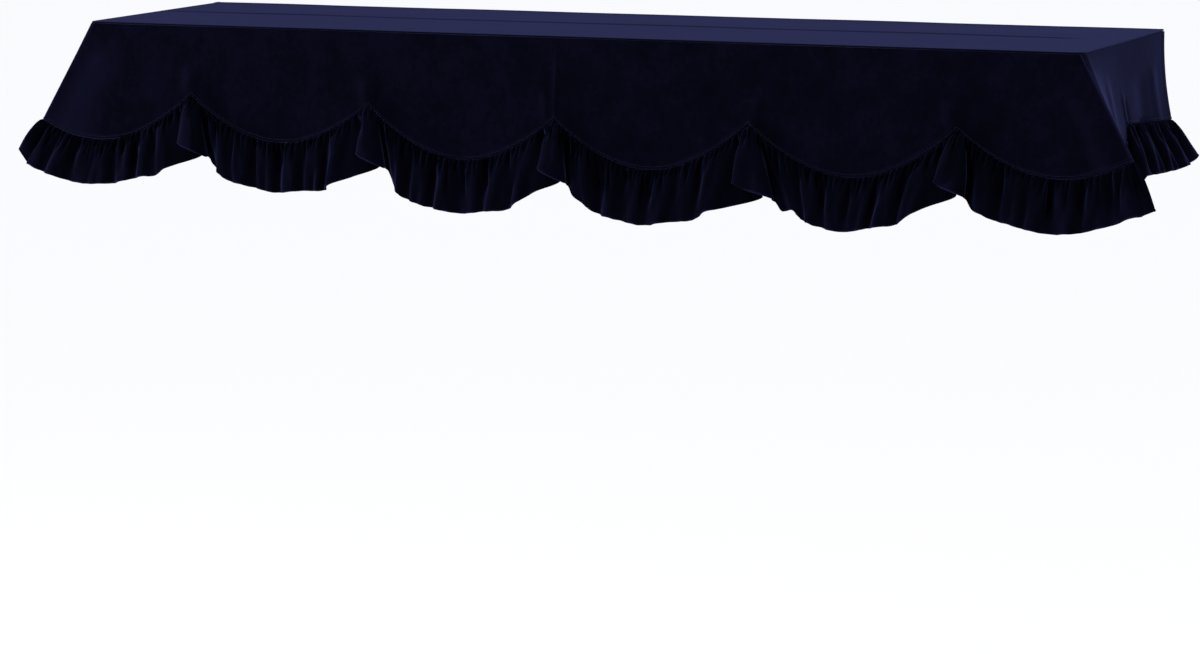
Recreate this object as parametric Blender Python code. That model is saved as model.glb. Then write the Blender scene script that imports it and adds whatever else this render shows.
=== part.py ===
"""Velvet cover for the top of an upright piano, as it hangs over the lid.

A flat top panel lies on the lid. A straight front panel and two side panels
hang from its edges, their lower edges cut in scallops, and a gathered frill
is sewn under them all the way round. The back has no drop. Metres, +Z up, +X
to the right, -Y to the front. The origin is the centre of the top panel's
underside, so the lid's own surface is the plane z = 0.
"""

import math

import bpy
from mathutils import Vector

MM = 0.001

# Driving dimensions
TOP_WIDTH = 1535 * MM       # lid of a full-size upright, with the cloth round it
TOP_DEPTH = 377 * MM
CLOTH = 2 * MM              # cotton velvet with its turned edges
SEAM_GAP = 0.5 * MM         # between sewn pieces, measured straight down
CORNER_GAP = 0.35 * MM      # between the pieces that meet in a corner seam
RIM = 2.6 * MM              # width of the top panel's rim over the hanging panels' upper edges
RIM_RISE = 0.3 * MM         # the rim's underside slopes up by this, clear of those edges
SIDE_FRILL_LENGTH = 75 * MM     # seam to hem along the cloth
CORNER_SHORT = 20 * MM      # a side frill is drawn up by this at its front corner
CORNER_REACH = 25 * MM      # and by less and less this far behind it
FRONT_TILT = 0.0745         # how far the front panel leans out for each unit of drop
CORNER_FLARE = 0.549        # the same for the side panels at the front corners
BACK_KICK = 0.8             # per metre of drop, squared: they hang straight, then swing out
FLARE_FADE = 70 * MM        # how quickly a side panel swings back in behind its corner
SCALLOP_POWER = 0.9         # below 1 it sharpens the notches between scallops

# Soft ridge where the cloth crosses the folding joint of the lid
RIDGE_Y = 20 * MM
RIDGE_HALF_WIDTH = 11 * MM
RIDGE_HEIGHT = 1.6 * MM
RIDGE_STOP = 45 * MM        # it dies out this far short of the right-hand edge

# Points where two scallops meet, left to right, with the corners at the ends. The flap
# that stands out below a notch has its hem between two points to the notch's left and
# right, and hangs lower than its table says by the last column.
NOTCHES = [
    # x_mm, drop_mm, flap_left_mm, flap_right_mm, flap_lower_mm
    (-845, 145, None, None, 0),
    (-590, 100, -10, 36, 0),
    (-295, 104, -8, 34, 0),
    (0, 113, -15, 24, 0),
    (295, 109, -15, 42, 12),
    (597, 105, -27, 15, 1),
    (843, 137, None, None, 0),
]

# Front scallops, left to right: how far the seam bellies below the line between
# its notches, the frill's length from seam to hem, and where the crests of its
# flutes reach the hem.
SCALLOPS = [
    # belly_mm, frill_mm, crests_x_mm
    (46, 67, (-856, -812, -774, -737, -698, -655, -626)),
    (62, 72, (-529, -490, -452, -411, -374, -342)),
    (68, 75, (-238, -203, -162, -121, -84, -51)),
    (67, 76, (61, 95, 130, 168, 205, 240)),
    (69, 73, (369, 396, 426, 460, 497, 532)),
    (43, 72, (642, 675, 713, 754, 797, 841)),
]

# The flap below each notch laps over the end of the scallop on its left and ends in a
# deep fold on its right. share is the hem's place from the flap's left end to its right,
# and fall is how far the hem is below the notch.
FLAP = [
    # seam_mm, share, out_mm, fall_mm
    (-27, -0.25, 7, 103),
    (-17, 0.70, -1, 86),
    (-10, 0.00, 14, 67),
    (-2, 0.28, 28, 72),
    (6, 0.74, 28, 79),
    (13, 1.08, 18, 86),
    (18, 0.98, 0, 90),
    (30, 1.22, 2, 104),
]

# Side panels, from the front corner back: the seam's turning points, then the flutes.
SIDE_NOTCHES = [
    # behind_mm, drop_mm, belly_mm of the run that starts here
    (0, None, 24),
    (155, 107, 0),
    (377, 124, 0),
]
SIDE_FOLDS = [
    # seam_mm, hem_mm, out_mm, phase: 0 in a valley, 1 on a crest
    (16, 8, 18, 1.0),
    (34, 28, 20, 0.0),
    (56, 50, 24, 1.0),
    (80, 80, 24, 0.1),
    (106, 104, 28, 1.0),
    (138, 138, 28, 0.0),
    (166, 168, 30, 1.0),
    (192, 196, 28, 0.1),
    (222, 230, 32, 1.0),
    (252, 258, 30, 0.0),
    (282, 294, 32, 1.0),
    (308, 322, 30, 0.15),
    (334, 354, 33, 1.0),
    (356, 384, 30, 0.1),
    (377, 420, 28, 1.0),
]

CREST_OUT = (17, 22, 15, 20, 14, 21, 18)   # mm, how far successive crests stand out
VALLEY_PHASE = (0.0, 0.15, 0.05, 0.3, 0.1)  # successive valleys are not equally deep
CORNER_EASE = 8             # mm, the last fold's distance from a corner seam
LEFT_VALLEY = 0.6           # the first valley's hem lies this share of a fold before its crest
RIGHT_VALLEY = 0.55         # and the last valley's this share after
LAST_OUT = 18               # mm
LAST_PHASE = 0.2

# A flute's profile: its crest stands out at once below the seam, then steadily, and its
# valley opens only towards the hem.
PUFF = 0.2
PUFF_LEVEL = 0.05
CREST_POWER = 0.85
VALLEY_AT_HEM = 0.45
VALLEY_START = 0.35
CREST_BREADTH = 2.4         # above 1 it broadens the crests and narrows the valleys

# The frill hangs longer where the seam runs steeply, beside the notches
LEFT_FLANK = 8              # mm, in the left half of a scallop
RIGHT_FLANK = 12            # mm, in the right half
RIGHT_CORNER = -2           # mm, shorter where it is drawn up towards the right corner
FLANK_START = 0.25          # from this share of the half scallop outwards
FLANK_WIDTH = 0.35

# The frill's hem where it turns a front corner, by side
CORNER_HEMS = {
    # x_mm, y_mm, drop_mm
    -1: (879, -212, 190),
    1: (873, -207, 200),
}

# Fineness of the faceted cloth
FRILL_LEVELS = (0.0, 0.32, 0.66, 1.0)
FRILL_STEPS = 3             # columns between a crest and the next valley
SCALLOP_COLUMNS = 18
PANEL_LEVELS = (0.0, 0.5, 1.0)
SIDE_LEVELS = (0.0, 0.33, 0.66, 1.0)
SIDE_COLUMNS = 12           # in each of a side panel's two runs
SLOPE_STEP = 2 * MM         # over which the side panel's slope is taken
LEAST_MITRE = 0.7           # keeps a corner's mitred thickness in bounds


def scallop_drop(start, end, belly, u):
    """Drop of a seam that bellies down between two notches, u running from 0 to 1."""
    return start + (end - start) * u + belly * abs(math.sin(math.pi * u)) ** SCALLOP_POWER


def front_seam(x):
    """Drop of the front seam at x."""
    for (x0, drop0, *_), (x1, drop1, *_), (belly, *_) in zip(NOTCHES, NOTCHES[1:], SCALLOPS):
        if x <= x1 * MM or x1 == NOTCHES[-1][0]:
            u = min(max((x - x0 * MM) / ((x1 - x0) * MM), 0), 1)
            return scallop_drop(drop0 * MM, drop1 * MM, belly * MM, u)


def corner_drop(side):
    """Drop of the seam at a front corner; side is -1 on the left and 1 on the right."""
    return (NOTCHES[0] if side < 0 else NOTCHES[-1])[1] * MM


def side_seam(side, behind):
    """Drop of a side seam at a distance behind the front corner."""
    for (s0, drop0, belly), (s1, drop1, _) in zip(SIDE_NOTCHES, SIDE_NOTCHES[1:]):
        if behind <= s1 * MM + 1e-9:
            start = corner_drop(side) if drop0 is None else drop0 * MM
            u = (behind - s0 * MM) / ((s1 - s0) * MM)
            return scallop_drop(start, drop1 * MM, belly * MM, min(max(u, 0), 1))


def front_point(x, drop, out=0.0):
    """A point of the front panel's leaning plane, or out in front of it."""
    return Vector((x, -TOP_DEPTH / 2 - FRONT_TILT * drop - out, -drop))


def side_point(side, behind, drop, out=0.0):
    """A point of a side panel, which is flared at its corner and hangs straight behind it."""
    fade = math.exp(-behind / FLARE_FADE)
    x = TOP_WIDTH / 2 + CORNER_FLARE * drop * fade + BACK_KICK * drop * drop * (1 - fade) + out
    y = -TOP_DEPTH / 2 + behind - FRONT_TILT * drop * fade
    return Vector((side * x, y, -drop))


def smooth_path(rows, steps):
    """Points on a Catmull-Rom curve through rows of numbers."""
    points = []
    last = len(rows) - 1
    for i in range(last):
        before, here = rows[max(i - 1, 0)], rows[i]
        there, after = rows[i + 1], rows[min(i + 2, last)]
        for k in range(steps):
            t = k / steps
            points.append(tuple(
                0.5 * (2 * b + (c - a) * t + (2 * a - 5 * b + 4 * c - d) * t * t
                       + (3 * b - a - 3 * c + d) * t ** 3)
                for a, b, c, d in zip(before, here, there, after)))
    points.append(tuple(rows[last]))
    return points


def grid_normals(grid):
    """Outward normal at each point of a grid whose rows run down the cloth."""
    rows, columns = len(grid), len(grid[0])
    normals = []
    for r in range(rows):
        line = []
        for c in range(columns):
            down = grid[min(r + 1, rows - 1)][c] - grid[max(r - 1, 0)][c]
            along = grid[r][min(c + 1, columns - 1)] - grid[r][max(c - 1, 0)]
            line.append(down.cross(along).normalized())
        normals.append(line)
    return normals


def corner_normal(side):
    """Direction that halves the angle between the front and a side panel at their seam."""
    drop = corner_drop(side)
    seam = front_point(side * (TOP_WIDTH / 2 + CORNER_FLARE * drop), drop) - front_point(
        side * TOP_WIDTH / 2, 0)
    front = seam.cross(Vector((1, 0, 0))).normalized()
    beside = side_point(side, CORNER_EASE * MM, drop) - side_point(side, 0, drop)
    flank = (seam.cross(beside) if side > 0 else beside.cross(seam)).normalized()
    return (front + flank).normalized()


def side_normal(side, behind, drop):
    """Outward normal of a side panel's surface."""
    step = SLOPE_STEP
    down = side_point(side, behind, drop + step) - side_point(side, behind, drop - step)
    back = side_point(side, behind + step, drop) - side_point(side, max(behind - step, 0), drop)
    return (down.cross(back) if side > 0 else back.cross(down)).normalized()


def cloth(name, grid, colour, roughness, top=None, bottom=None, corners=()):
    """Close a grid of outer points into a sheet of cloth with its own material.

    top and bottom list the directions of the sheet's thickness along its sewn edges,
    and corners lists (column, side) for the edges that meet at a corner seam.
    """
    normals = grid_normals(grid)
    if top:
        normals[0] = list(top)
    if bottom:
        normals[-1] = list(bottom)
    depth = [[CLOTH] * len(grid[0]) for _ in grid]
    for column, side in corners:
        mitre = corner_normal(side)
        for r, line in enumerate(normals):
            depth[r][column] = CLOTH / max(mitre.dot(line[column].normalized()), LEAST_MITRE)
            line[column] = mitre
    rows, columns = len(grid), len(grid[0])
    outer = [point for line in grid for point in line]
    inner = [grid[r][c] - normals[r][c] * depth[r][c] for r in range(rows) for c in range(columns)]
    count = len(outer)

    def outside(r, c):
        return r * columns + c

    faces = []
    for r in range(rows - 1):
        for c in range(columns - 1):
            quad = (outside(r, c), outside(r + 1, c), outside(r + 1, c + 1), outside(r, c + 1))
            faces.append(quad)
            faces.append(tuple(count + v for v in reversed(quad)))
    edge = [outside(0, c) for c in range(columns)]
    edge += [outside(r, columns - 1) for r in range(1, rows)]
    edge += [outside(rows - 1, c) for c in range(columns - 2, -1, -1)]
    edge += [outside(r, 0) for r in range(rows - 2, 0, -1)]
    for a, b in zip(edge, edge[1:] + edge[:1]):
        faces.append((a, b, count + b, count + a))

    mesh = bpy.data.meshes.new(name)
    mesh.from_pydata(outer + inner, [], faces)
    mesh.validate()
    mesh.shade_smooth()
    material = bpy.data.materials.new(name + "_velvet")
    material.use_nodes = True
    shader = material.node_tree.nodes["Principled BSDF"]
    shader.inputs["Base Color"].default_value = (*colour, 1)
    shader.inputs["Roughness"].default_value = roughness
    shader.inputs["Metallic"].default_value = 0
    shader.inputs["Sheen Weight"].default_value = 0.5
    mesh.materials.append(material)
    piece = bpy.data.objects.new(name, mesh)
    bpy.context.scene.collection.objects.link(piece)
    return piece


def top_panel():
    """Flat sheet on the lid, with the soft ridge lying lengthwise."""
    half_width, half_depth = TOP_WIDTH / 2, TOP_DEPTH / 2
    columns = [-half_width, -half_width + RIM, -half_width / 2, 0, half_width / 2,
               half_width - 2 * RIDGE_STOP, half_width - RIDGE_STOP, half_width - RIM, half_width]
    across = [half_depth, RIDGE_Y + RIDGE_HALF_WIDTH, RIDGE_Y + RIDGE_HALF_WIDTH / 2, RIDGE_Y,
              RIDGE_Y - RIDGE_HALF_WIDTH / 2, RIDGE_Y - RIDGE_HALF_WIDTH, -half_depth + RIM,
              -half_depth]
    grid = []
    for y in across:
        row = []
        for x in columns:
            lift = 0
            if x < half_width - RIDGE_STOP and abs(y - RIDGE_Y) < RIDGE_HALF_WIDTH:
                lift = RIDGE_HEIGHT * math.cos(math.pi / 2 * (y - RIDGE_Y) / RIDGE_HALF_WIDTH) ** 2
            row.append(Vector((x, y, CLOTH + lift)))
        grid.append(row)
    piece = cloth("top_panel", grid, (0.035, 0.035, 0.09), 0.85)
    upper = len(across) * len(columns)
    for number, vertex in enumerate(piece.data.vertices):
        if number >= upper:   # underside: straight below the upper face, raised along the rim
            above = piece.data.vertices[number - upper].co
            on_rim = abs(above.x) > half_width - RIM / 2 or above.y < -half_depth + RIM / 2
            vertex.co = above - Vector((0, 0, CLOTH - (RIM_RISE if on_rim else 0)))
    return piece


def front_panel():
    """Straight leaning panel whose lower edge is cut in six scallops."""
    bottom = []
    for (x0, *_), (x1, *_) in zip(NOTCHES, NOTCHES[1:]):
        bottom += [(x0 + (x1 - x0) * k / SCALLOP_COLUMNS) * MM for k in range(SCALLOP_COLUMNS)]
    bottom.append(NOTCHES[-1][0] * MM)
    grid = []
    for level in PANEL_LEVELS:
        row = []
        for x in bottom:
            widest = TOP_WIDTH / 2 + CORNER_FLARE * corner_drop(math.copysign(1, x))
            drop = SEAM_GAP + (front_seam(x) - SEAM_GAP) * level
            share = x / widest
            row.append(front_point(share * (TOP_WIDTH / 2 + (widest - TOP_WIDTH / 2) * level), drop))
        for column, side in ((0, -1), (-1, 1)):
            drop = -row[column].z
            row[column] = front_point(side * (TOP_WIDTH / 2 + CORNER_FLARE * drop - CORNER_GAP), drop)
        grid.append(row)
    return cloth("front_panel", grid, (0.004, 0.004, 0.012), 0.85,
                 top=[Vector((0, -1, 0))] * len(bottom), corners=((0, -1), (-1, 1)))


def side_panel(side):
    """Panel over one end of the lid, swung out where it is sewn to the front panel."""
    places = []
    for (s0, _, _), (s1, _, _) in zip(SIDE_NOTCHES, SIDE_NOTCHES[1:]):
        places += [(s0 + (s1 - s0) * k / SIDE_COLUMNS) * MM for k in range(SIDE_COLUMNS)]
    places.append(TOP_DEPTH)
    grid = []
    for level in SIDE_LEVELS:
        row = []
        for behind in places:
            seam = side_seam(side, behind)
            drop = SEAM_GAP + (seam - SEAM_GAP) * level
            row.append(side_point(side, behind, drop))
        row[0] = row[0] + Vector((0, CORNER_GAP, 0))
        grid.append(row)
    hem = [side_normal(side, behind, side_seam(side, behind)) for behind in places]
    if side < 0:
        grid = [row[::-1] for row in grid]
        hem.reverse()
    name = "side_panel_right" if side > 0 else "side_panel_left"
    return cloth(name, grid, (0.01, 0.01, 0.03), 0.85,
                 top=[Vector((side, 0, 0))] * len(places), bottom=hem,
                 corners=((0, 1),) if side > 0 else ((-1, -1),))


def hang(seam_drop, length, sideways, out):
    """Drop of the hem when part of the frill's length is spent on swinging sideways and out."""
    return seam_drop + math.sqrt(max(length ** 2 - sideways ** 2 - out ** 2, 0))


def ease(x):
    """Smooth step from 0 to 1."""
    x = min(max(x, 0), 1)
    return x * x * (3 - 2 * x)


def out_at(level, out, phase):
    """How far a fold stands out at a level, 0 at the seam, 1 at the hem."""
    crest = PUFF * (1 - math.exp(-level / PUFF_LEVEL)) + (1 - PUFF) * level ** CREST_POWER
    valley = VALLEY_AT_HEM * ease((level - VALLEY_START) / (1 - VALLEY_START))
    full = 1 - (1 - min(max(phase, 0), 1)) ** CREST_BREADTH
    return out * (valley + full * (crest - valley))


def flank_length(number, u):
    """What a fold at u, from 0 to 1 across its scallop, hangs longer than the middle ones."""
    steep = ease((abs(2 * u - 1) - FLANK_START) / FLANK_WIDTH)
    if u < 0.5:
        return steep * (LEFT_FLANK if number else 0)
    return steep * (RIGHT_FLANK if number < len(SCALLOPS) - 1 else RIGHT_CORNER)


def front_folds():
    """Rows of (seam x, hem x, out, hem drop, phase) along the front frill, one for each fold."""
    rows = []
    crest = 0
    last = len(SCALLOPS) - 1
    for number, (_, length, hems) in enumerate(SCALLOPS):
        x0, x1 = NOTCHES[number][0], NOTCHES[number + 1][0]
        start = x0 + (FLAP[-1][0] if number else 0)
        end = x1 + (FLAP[0][0] if number < last else 0)
        pitch = (end - start) / len(hems)

        def add(seam, hem, out, phase):
            cut = length + flank_length(number, (seam - x0) / (x1 - x0))
            drop = hang(front_seam(seam * MM), cut * MM, (hem - seam) * MM, out_at(1, out, phase) * MM)
            rows.append((seam * MM, hem * MM, out * MM, drop, phase))

        for k, hem in enumerate(hems):
            seam = start + pitch * (k + 0.5)
            out = CREST_OUT[crest % len(CREST_OUT)]
            if k or not number:
                before = hems[k - 1] if k else hem - pitch * LEFT_VALLEY
                add(seam - pitch / 2 + (0 if k else CORNER_EASE), (hem + before) / 2, out,
                    VALLEY_PHASE[crest % len(VALLEY_PHASE)])
            add(seam, hem, out, 1)
            crest += 1
        if number == last:
            add(end - CORNER_EASE, hems[-1] + pitch * RIGHT_VALLEY, LAST_OUT, LAST_PHASE)
            continue
        _, notch_drop, left, right, lower = NOTCHES[number + 1]
        for seam, share, out, fall in FLAP:
            rows.append(((x1 + seam) * MM, (x1 + left + (right - left) * share) * MM, out * MM,
                         (notch_drop + fall + lower) * MM, 1))
    return rows


def corner_hem(side):
    """The point where the front and a side frill's hems meet."""
    x, y, drop = CORNER_HEMS[side]
    return Vector((side * x, y, -drop)) * MM


def front_frill():
    """Gathered strip under the front panel, with a lapped fold below every notch."""
    folds = smooth_path(front_folds(), FRILL_STEPS)
    ends = []
    for side in (-1, 1):
        drop = corner_drop(side) + SEAM_GAP
        ends.append((front_point(side * (TOP_WIDTH / 2 + CORNER_FLARE * drop - CORNER_GAP), drop),
                     corner_hem(side) - Vector((side * CORNER_GAP, 0, 0))))
    grid = []
    for level in FRILL_LEVELS:
        row = [ends[0][0].lerp(ends[0][1], level)]
        for seam, hem, out, drop, phase in folds:
            at = front_seam(seam) + SEAM_GAP
            row.append(front_point(seam + (hem - seam) * level, at + (drop - at) * level,
                                   out_at(level, out, phase)))
        row.append(ends[1][0].lerp(ends[1][1], level))
        grid.append(row)
    panel_normal = Vector((0, -1, FRONT_TILT)).normalized()
    return cloth("frill_front", grid, (0.004, 0.004, 0.01), 0.8,
                 top=[panel_normal] * len(grid[0]), corners=((0, -1), (-1, 1)))


def side_frill(side):
    """Gathered strip under a side panel, its free back end fanned out."""
    folds = smooth_path(SIDE_FOLDS, FRILL_STEPS)
    corner = corner_drop(side) + SEAM_GAP
    start = (side_point(side, 0, corner) + Vector((0, CORNER_GAP, 0)),
             corner_hem(side) + Vector((0, CORNER_GAP, 0)))
    grid = []
    for level in FRILL_LEVELS:
        row = [start[0].lerp(start[1], level)]
        for seam, hem, out, phase in folds:
            at = side_seam(side, seam * MM) + SEAM_GAP
            swing = (hem - seam) * MM
            length = SIDE_FRILL_LENGTH - CORNER_SHORT * math.exp(-seam * MM / CORNER_REACH)
            low = hang(at, length, swing, out_at(1, out, phase) * MM)
            sewn = side_point(side, seam * MM, at, out_at(level, out, phase) * MM)
            row.append(sewn + Vector((0, swing * level, (at - low) * level)))
        grid.append(row)
    seams = [0.0] + [seam * MM for seam, *_ in folds]
    sewn = [side_normal(side, behind, side_seam(side, behind)) for behind in seams]
    if side < 0:
        grid = [row[::-1] for row in grid]
        sewn.reverse()
    name = "frill_right" if side > 0 else "frill_left"
    return cloth(name, grid, (0.006, 0.006, 0.015), 0.8, top=sewn,
                 corners=((0, 1),) if side > 0 else ((-1, -1),))


for leftover in list(bpy.data.objects):
    bpy.data.objects.remove(leftover, do_unlink=True)

top_panel()
front_panel()
front_frill()
for hand in (-1, 1):
    side_panel(hand)
    side_frill(hand)
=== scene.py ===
# Velvet cover for an upright piano's top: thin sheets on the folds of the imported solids
import math
import random

import bpy
import numpy as np
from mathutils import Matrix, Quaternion, Vector


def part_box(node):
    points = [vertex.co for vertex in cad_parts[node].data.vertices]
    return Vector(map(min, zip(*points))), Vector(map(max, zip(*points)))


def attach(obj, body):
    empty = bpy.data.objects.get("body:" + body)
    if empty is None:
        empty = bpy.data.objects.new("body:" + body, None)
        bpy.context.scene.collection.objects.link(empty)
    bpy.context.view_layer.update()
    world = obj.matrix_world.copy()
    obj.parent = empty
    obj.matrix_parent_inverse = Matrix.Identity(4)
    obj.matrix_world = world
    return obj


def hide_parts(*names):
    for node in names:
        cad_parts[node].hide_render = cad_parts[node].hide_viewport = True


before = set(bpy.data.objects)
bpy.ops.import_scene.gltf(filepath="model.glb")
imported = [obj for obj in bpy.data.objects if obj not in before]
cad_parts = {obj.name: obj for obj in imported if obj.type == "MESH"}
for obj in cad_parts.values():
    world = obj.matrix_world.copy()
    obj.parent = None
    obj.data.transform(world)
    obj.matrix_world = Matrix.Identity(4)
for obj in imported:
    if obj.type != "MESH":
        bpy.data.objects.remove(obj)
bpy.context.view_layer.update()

mm = 0.001
topLow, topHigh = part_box("top_panel")
topWidth = (topHigh.x - topLow.x) / mm
topDepth = (topHigh.y - topLow.y) / mm
print("frame loaded, top panel %.0f by %.0f mm" % (topWidth, topDepth))


# the drape, in millimetres, as in the solids
drape = {
    "frontTilt": 0.0745,      # lean of the front panel, out for each unit of drop
    "cornerFlare": 0.549,     # the side panels swing out this much at the front corners
    "backKick": 0.0008,       # and hang straight behind, kicking out low down
    "flareFade": 70,          # how quickly the flare dies away behind a corner
    "scallopPower": 0.9,      # sharpens the notches between scallops
    "cornerRound": 15,        # the cloth turns the lid's corners on this radius
    "cornerTighten": 0.07,    # which shrinks with each mm of drop
    "leastRound": 4,
    "cornerGap": 0.25,        # each cloth stops this short of a corner seam
}

# where two scallops meet, left to right, with the corners at the ends; the flap that
# stands out below a notch has the ends of its hem at left and right of it
notches = [
    # x, drop, flap left, flap right, flap lower
    (-845, 145, None, None, 0),
    (-590, 100, -10, 36, 0),
    (-295, 104, -8, 34, 0),
    (0, 113, -15, 24, 0),
    (295, 109, -15, 42, 12),
    (597, 105, -27, 15, 1),
    (843, 137, None, None, 0),
]

scallops = [
    # belly of the seam, length of the frill, hem places of the flutes' crests
    (46, 67, (-856, -812, -774, -737, -698, -655, -626)),
    (62, 72, (-529, -490, -452, -411, -374, -342)),
    (68, 75, (-238, -203, -162, -121, -84, -51)),
    (67, 76, (61, 95, 130, 168, 205, 240)),
    (69, 73, (369, 396, 426, 460, 497, 532)),
    (43, 72, (642, 675, 713, 754, 797, 841)),
]

frillFall = {
    "leftFlank": 8,           # the frill hangs longer where the seam runs steeply
    "rightFlank": 12,
    "rightCorner": -2,        # and a little shorter at the right front corner
    "flankStart": 0.25,       # from this share of the half scallop outwards
    "flankWidth": 0.35,
    "sideLength": 75,         # from seam to hem
    "cornerShort": 20,        # drawn up by this at a front corner
    "cornerReach": 25,
}

# the flap below a notch: it starts behind itself, stands out, and ends in a deep fold
flapFolds = [
    # seam, hem share from the flap's left end to its right, out, fall below the notch, painted light
    (-27, -0.25, 7, 103, 0.75),
    (-17, 0.70, -1, 86, 0.2),
    (-10, 0.00, 14, 67, 0.8),
    (-2, 0.28, 28, 72, 1.0),
    (6, 0.74, 28, 79, 1.0),
    (13, 1.08, 18, 86, 0.55),
    (18, 0.98, 0, 90, 0.0),
    (30, 1.22, 2, 104, 0.15),
]

# a side seam's turning points, from the front corner back
sideNotches = [
    # place, drop, belly of the run that follows
    (0, None, 24),            # the corner's own drop
    (155, 107, 0),
    (377, 124, 0),
]
sideFolds = [
    # seam, hem, out, crest or valley
    (16, 8, 18, 1.0),
    (34, 28, 20, 0.0),
    (56, 50, 24, 1.0),
    (80, 80, 24, 0.1),
    (106, 104, 28, 1.0),
    (138, 138, 28, 0.0),
    (166, 168, 30, 1.0),
    (192, 196, 28, 0.1),
    (222, 230, 32, 1.0),
    (252, 258, 30, 0.0),
    (282, 294, 32, 1.0),
    (308, 322, 30, 0.15),
    (334, 354, 33, 1.0),
    (356, 384, 30, 0.1),
    (377, 420, 28, 1.0),
]

# the front's flutes take these in turn
crestOut = (17, 22, 15, 20, 14, 21, 18)
valleyShare = (0.0, 0.15, 0.05, 0.3, 0.1)    # how far each valley is on its way to a crest
cornerEase = 8                               # from a corner to its nearest fold

# the frill's hem where it turns a front corner, left and right: x, y, drop
cornerHems = {-1: (879, -212, 190), 1: (873, -207, 200)}


def scallopDrop(start, end, belly, u):
    # drop of a seam between two notches, at the share u of the way
    return start + (end - start) * u + belly * np.abs(np.sin(np.pi * u)) ** drape["scallopPower"]


def frontSeam(x):
    x = np.asarray(x, float)
    drop = np.zeros_like(x)
    for (x0, drop0, *_), (x1, drop1, *_), (belly, *_) in zip(notches, notches[1:], scallops):
        u = (x - x0) / (x1 - x0)
        inside = (u >= 0) & (u <= 1)
        drop = np.where(inside, scallopDrop(drop0, drop1, belly, np.clip(u, 0, 1)), drop)
    drop = np.where(x < notches[0][0], notches[0][1], drop)
    return np.where(x > notches[-1][0], notches[-1][1], drop)


def cornerDrop(side):
    return notches[0][1] if side < 0 else notches[-1][1]


def sideSeam(side, behind):
    behind = np.clip(np.asarray(behind, float), 0, sideNotches[-1][0])
    drop = np.zeros_like(behind)
    for (s0, drop0, belly), (s1, drop1, _) in zip(sideNotches, sideNotches[1:]):
        start = cornerDrop(side) if drop0 is None else drop0
        u = (behind - s0) / (s1 - s0)
        inside = (u >= 0) & (u <= 1)
        drop = np.where(inside, scallopDrop(start, drop1, belly, np.clip(u, 0, 1)), drop)
    return drop


def frontPoint(x, drop, out=0.0):
    x, drop, out = np.broadcast_arrays(x, drop, out)
    return np.stack([x, -topDepth / 2 - drape["frontTilt"] * drop - out, -drop], -1).astype(float)


def sidePoint(side, behind, drop, out=0.0):
    behind, drop, out = np.broadcast_arrays(behind, drop, out)
    fade = np.exp(-behind / drape["flareFade"])
    x = topWidth / 2 + drape["cornerFlare"] * drop * fade + out
    x = x + drape["backKick"] * drop * drop * (1 - fade)
    y = -topDepth / 2 + behind - drape["frontTilt"] * drop * fade
    return np.stack([side * x, y, -drop], -1).astype(float)


def roundCorners(grid):
    # turns the sharp front corners of the draped box on a radius that shrinks with the drop
    drop = np.maximum(-grid[..., 2], 0)
    radius = np.maximum(drape["cornerRound"] - drape["cornerTighten"] * drop, drape["leastRound"])
    cornerX = topWidth / 2 + drape["cornerFlare"] * drop
    cornerY = -topDepth / 2 - drape["frontTilt"] * drop
    sign = np.where(grid[..., 0] < 0, -1, 1)
    qx = np.abs(grid[..., 0]) - (cornerX - radius)
    qy = (cornerY + radius) - grid[..., 1]
    near = (qx > 0) & (qy > 0)
    reach = np.hypot(qx, qy) + 1e-9
    shrink = np.where(near, np.maximum(qx, qy) / reach, 1)
    rounded = grid.copy()
    rounded[..., 0] = np.where(near, sign * (cornerX - radius + qx * shrink), grid[..., 0])
    rounded[..., 1] = np.where(near, cornerY + radius - qy * shrink, grid[..., 1])
    return rounded


def smoothPath(rows, steps):
    # Catmull-Rom curve through rows of numbers
    rows = np.array(rows, float)
    padded = np.vstack([rows[0], rows, rows[-1]])
    t = (np.arange(steps) / steps)[:, None]
    runs = []
    for a, b, c, d in zip(padded, padded[1:], padded[2:], padded[3:]):
        runs.append(0.5 * (2 * b + (c - a) * t + (2 * a - 5 * b + 4 * c - d) * t ** 2
                           + (3 * b - a - 3 * c + d) * t ** 3))
    return np.vstack(runs + [rows[-1:]])


def ease(x):
    # from 0 to 1 without a kink
    x = np.clip(x, 0, 1)
    return x * x * (3 - 2 * x)


def hump(x, centre, width):
    # 1 at the centre, dying away on both sides
    return np.exp(-((x - centre) / width) ** 2)


def normalsOf(grid):
    down = np.gradient(grid, axis=0)
    along = np.gradient(grid, axis=1)
    normal = np.cross(down, along)
    return normal / (np.linalg.norm(normal, axis=-1, keepdims=True) + 1e-12)


def srgb(code):
    # hex colour to linear light
    parts = [int(code[k:k + 2], 16) / 255 for k in (1, 3, 5)]
    return tuple(v / 12.92 if v <= 0.04045 else ((v + 0.055) / 1.055) ** 2.4 for v in parts) + (1.0,)


def addNode(tree, kind, settings=None, links=None):
    # one node with its properties, its socket values and what feeds it
    node = tree.nodes.new(kind)
    for key, value in (settings or {}).items():
        if isinstance(key, str) and hasattr(node, key):
            setattr(node, key, value)
        else:
            node.inputs[key].default_value = value
    for key, source in (links or {}).items():
        tree.links.new(source, node.inputs[key])
    return node


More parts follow.
